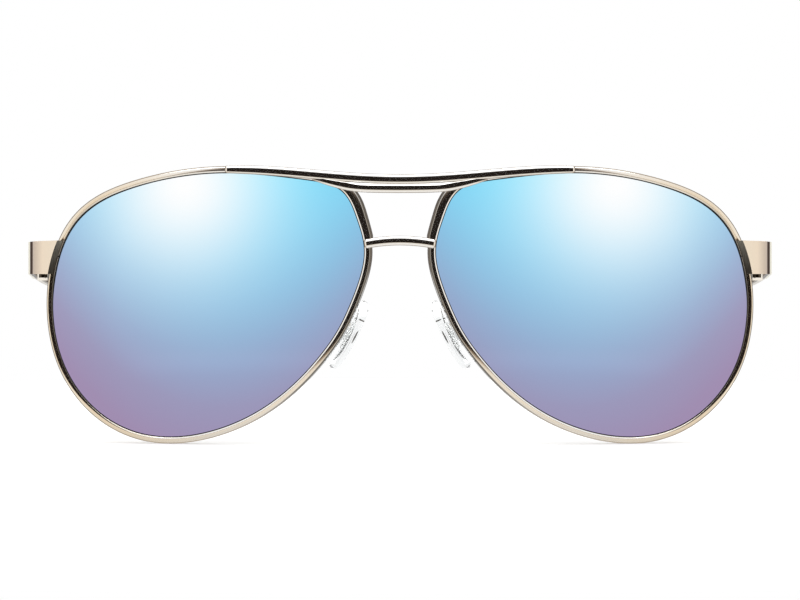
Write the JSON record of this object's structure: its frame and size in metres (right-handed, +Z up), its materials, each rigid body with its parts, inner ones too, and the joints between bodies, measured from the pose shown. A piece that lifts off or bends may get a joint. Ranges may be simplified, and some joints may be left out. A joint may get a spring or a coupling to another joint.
{
  "type": "aviator sunglasses",
  "caption": "Wire-framed aviator sunglasses with gradient mirrored lenses, a brow bar, a double bridge, rocking nose pads and folding temples.",
  "frame": {"origin": "centre of the footprint, on the surface the open glasses stand on with both rims and both temple tips", "axes": "+X towards the wearer's left, +Y back along the open temples, +Z up; the lenses face -Y"},
  "size_m": [0.1474, 0.1494, 0.054],
  "materials": {
    "frame_metal": "polished, pale champagne silver",
    "endpiece_metal": "satin, pale champagne",
    "mirror_lens": "gradient mirror, pale blue at the top to violet at the bottom",
    "tip_plastic": "polished, dark grey",
    "pad_silicone": "clear, smooth",
    "clear_plastic": "clear, smooth",
    "screw_steel": "turned steel"
  },
  "bodies": {
    "front": {"brow_bar": "frame_metal", "upper_bridge": "frame_metal", "lower_bridge": "frame_metal", "rim_left": "frame_metal", "rim_right": "frame_metal", "lens_left": "mirror_lens", "lens_right": "mirror_lens", "upper_closing_block_left": "frame_metal", "upper_closing_block_right": "frame_metal", "lower_closing_block_left": "frame_metal", "lower_closing_block_right": "frame_metal", "closing_screw_left": "screw_steel", "closing_screw_right": "screw_steel", "endpiece_left": "endpiece_metal", "endpiece_right": "endpiece_metal", "front_hinge_left": "frame_metal", "front_hinge_right": "frame_metal", "hinge_screw_left": "screw_steel", "hinge_screw_right": "screw_steel", "pad_arm_left": "frame_metal", "pad_arm_right": "frame_metal", "pad_box_left": "frame_metal", "pad_box_right": "frame_metal", "pad_screw_left": "screw_steel", "pad_screw_right": "screw_steel"},
    "temple_left": {"temple_left": "frame_metal", "temple_tip_left": "tip_plastic", "temple_hinge_left": "frame_metal"},
    "pad_left": {"nose_pad_left": "pad_silicone", "pad_insert_left": "clear_plastic"},
    "temple_right": {"temple_right": "frame_metal", "temple_tip_right": "tip_plastic", "temple_hinge_right": "frame_metal"},
    "pad_right": {"nose_pad_right": "pad_silicone", "pad_insert_right": "clear_plastic"}
  },
  "joints": [
    {"name": "temple_left_fold", "type": "hinge", "parent": "front", "child": "temple_left", "pos_m": [0.0708, -0.05745, 0.0365], "axis": [0, 0, 1], "range_deg": [0, 90]},
    {"name": "temple_right_fold", "type": "hinge", "parent": "front", "child": "temple_right", "pos_m": [-0.0708, -0.05745, 0.0365], "axis": [0, 0, -1], "range_deg": [0, 86]},
    {"name": "pad_left_rock", "type": "hinge", "parent": "front", "child": "pad_left", "pos_m": [0.01211, -0.0657, 0.02202], "axis": [0.124, 0.9903, 0.0632], "range_deg": [-10, 10]},
    {"name": "pad_right_rock", "type": "hinge", "parent": "front", "child": "pad_right", "pos_m": [-0.01211, -0.0657, 0.02202], "axis": [-0.124, 0.9903, 0.0632], "range_deg": [-10, 10]}
  ]
}
